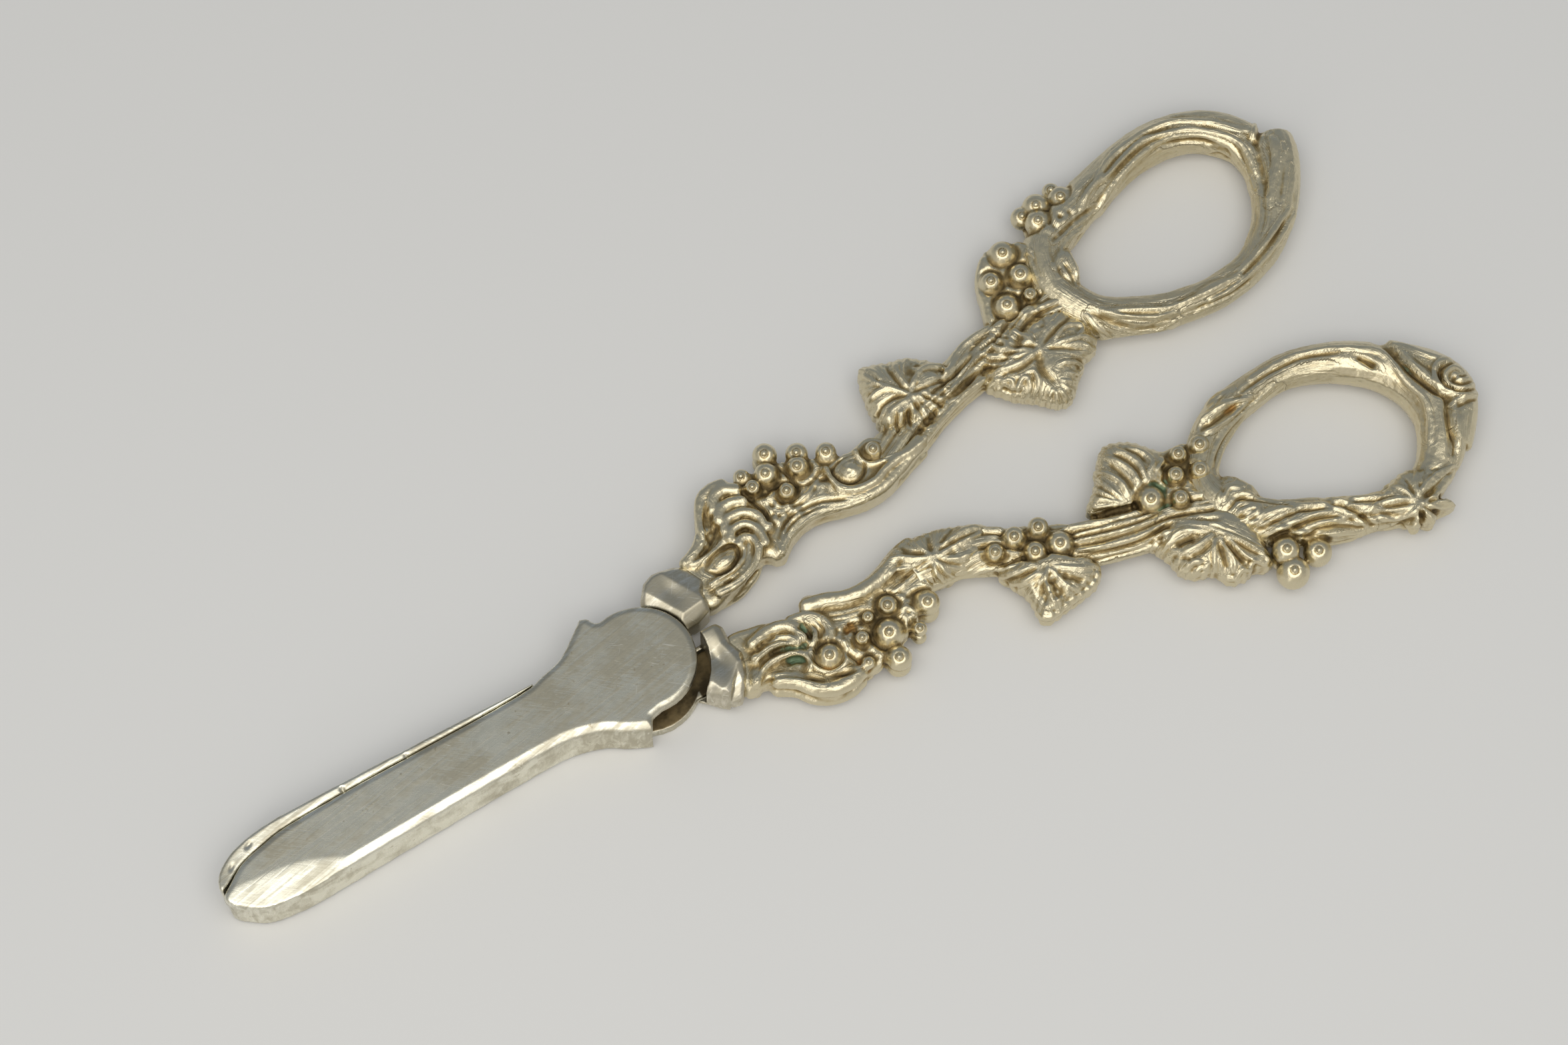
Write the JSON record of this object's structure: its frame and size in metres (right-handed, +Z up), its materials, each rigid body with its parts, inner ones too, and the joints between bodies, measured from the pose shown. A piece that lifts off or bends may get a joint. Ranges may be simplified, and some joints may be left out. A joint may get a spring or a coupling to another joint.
{
  "type": "grape shears",
  "caption": "Cast silver-plated grape shears: box-section blades that cross at one pivot, scrolled necks, vine stems with leaves and grapes, and oval finger rings.",
  "frame": {"origin": "middle of the closed shears on the surface they lie on", "axes": "+X from the blade tips to the finger rings, +Y towards the upper half's ring, +Z up through the pivot"},
  "size_m": [0.1803, 0.0717, 0.007],
  "materials": {
    "blade_silver": "worn silver plate, fine scratches, tarnish toward the pivot",
    "cast_silver": "polished cast silver plate with yellow-brown tarnish in the hollows",
    "grape_silver": "polished cast silver plate, tarnish between the grapes",
    "screw_steel": "satin slotted screw"
  },
  "bodies": {
    "lower_half": {"lower_blade": "blade_silver", "lower_bolster": "blade_silver", "lower_neck": "cast_silver", "lower_neck_scroll": "cast_silver", "lower_vine_stem": "cast_silver", "lower_stem_leaf": "cast_silver", "lower_fan_leaf": "cast_silver", "lower_fork_leaf": "cast_silver", "lower_hanging_leaf": "cast_silver", "lower_back_leaf": "cast_silver", "lower_finger_ring": "cast_silver", "lower_ring_branch": "cast_silver", "lower_ring_leaf": "cast_silver", "lower_neck_grapes": "grape_silver", "lower_stem_grapes": "grape_silver", "lower_fork_grapes": "grape_silver", "lower_drop_grapes": "grape_silver"},
    "upper_half": {"upper_blade": "blade_silver", "upper_bolster": "blade_silver", "upper_neck": "cast_silver", "upper_neck_scroll": "cast_silver", "upper_seed_scroll": "cast_silver", "upper_vine_stem": "cast_silver", "upper_stem_leaf": "cast_silver", "upper_fork_leaf": "cast_silver", "upper_back_leaf": "cast_silver", "upper_finger_ring": "cast_silver", "upper_ring_branch": "cast_silver", "upper_neck_grapes": "grape_silver", "upper_fork_grapes": "grape_silver", "upper_ring_grapes": "grape_silver", "pivot_screw": "screw_steel"}
  },
  "joints": [
    {"name": "pivot", "type": "hinge", "parent": "lower_half", "child": "upper_half", "pos_m": [-0.0284, -0.0006, 0.0035], "axis": [0, 0, 1], "range_deg": [0, 45]}
  ]
}
